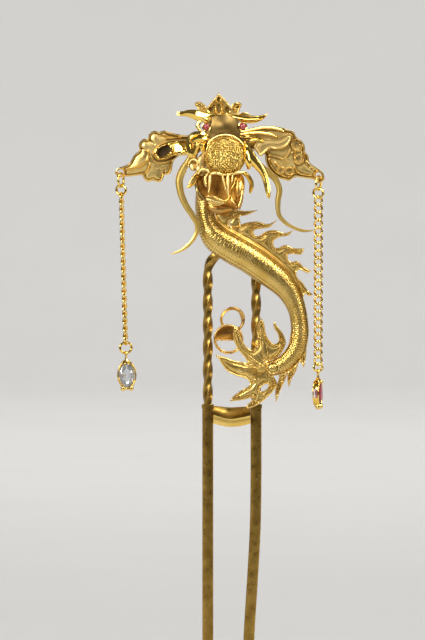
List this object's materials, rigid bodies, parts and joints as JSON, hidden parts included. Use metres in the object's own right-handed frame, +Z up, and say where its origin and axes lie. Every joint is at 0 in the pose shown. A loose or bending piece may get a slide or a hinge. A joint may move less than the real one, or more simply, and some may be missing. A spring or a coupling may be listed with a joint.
{
  "type": "two-pronged hairpin",
  "caption": "Gold two-pronged hairpin with a twisted-wire arch, a scaled dragon whose head faces forward, crown, ear plates and chains with stone drops.",
  "frame": {"origin": "middle of the crossbar's underside, which rests on the hair", "axes": "+Z up along the prongs towards the crown, +X to the right of the dragon as seen from the front, the dragon faces -Y"},
  "size_m": [0.0421, 0.0112, 0.1451],
  "materials": {
    "gold": "polished yellow gold",
    "red_stone": "polished and faceted",
    "clear_stone": "polished and faceted"
  },
  "bodies": {
    "root": {"fork": "gold", "dragon_body": "gold", "dorsal_fins": "gold", "tail_spikes": "gold", "tail_fin": "gold", "tail_scroll": "gold", "skull": "gold", "muzzle": "gold", "lip_fringe": "gold", "jaw": "gold", "tongue": "gold", "cheek_left": "gold", "cheek_right": "gold", "eye_left": "red_stone", "eye_right": "red_stone", "crest": "gold", "horn_left": "gold", "horn_right": "gold", "wing_left": "gold", "wing_right": "gold", "ear_left": "gold", "ear_right": "gold", "whisker_left": "gold", "whisker_right": "gold", "chain_left": "gold", "chain_right": "gold", "drop_left": "gold", "drop_right": "gold", "stone_left": "clear_stone", "stone_right": "red_stone"}
  },
  "joints": []
}
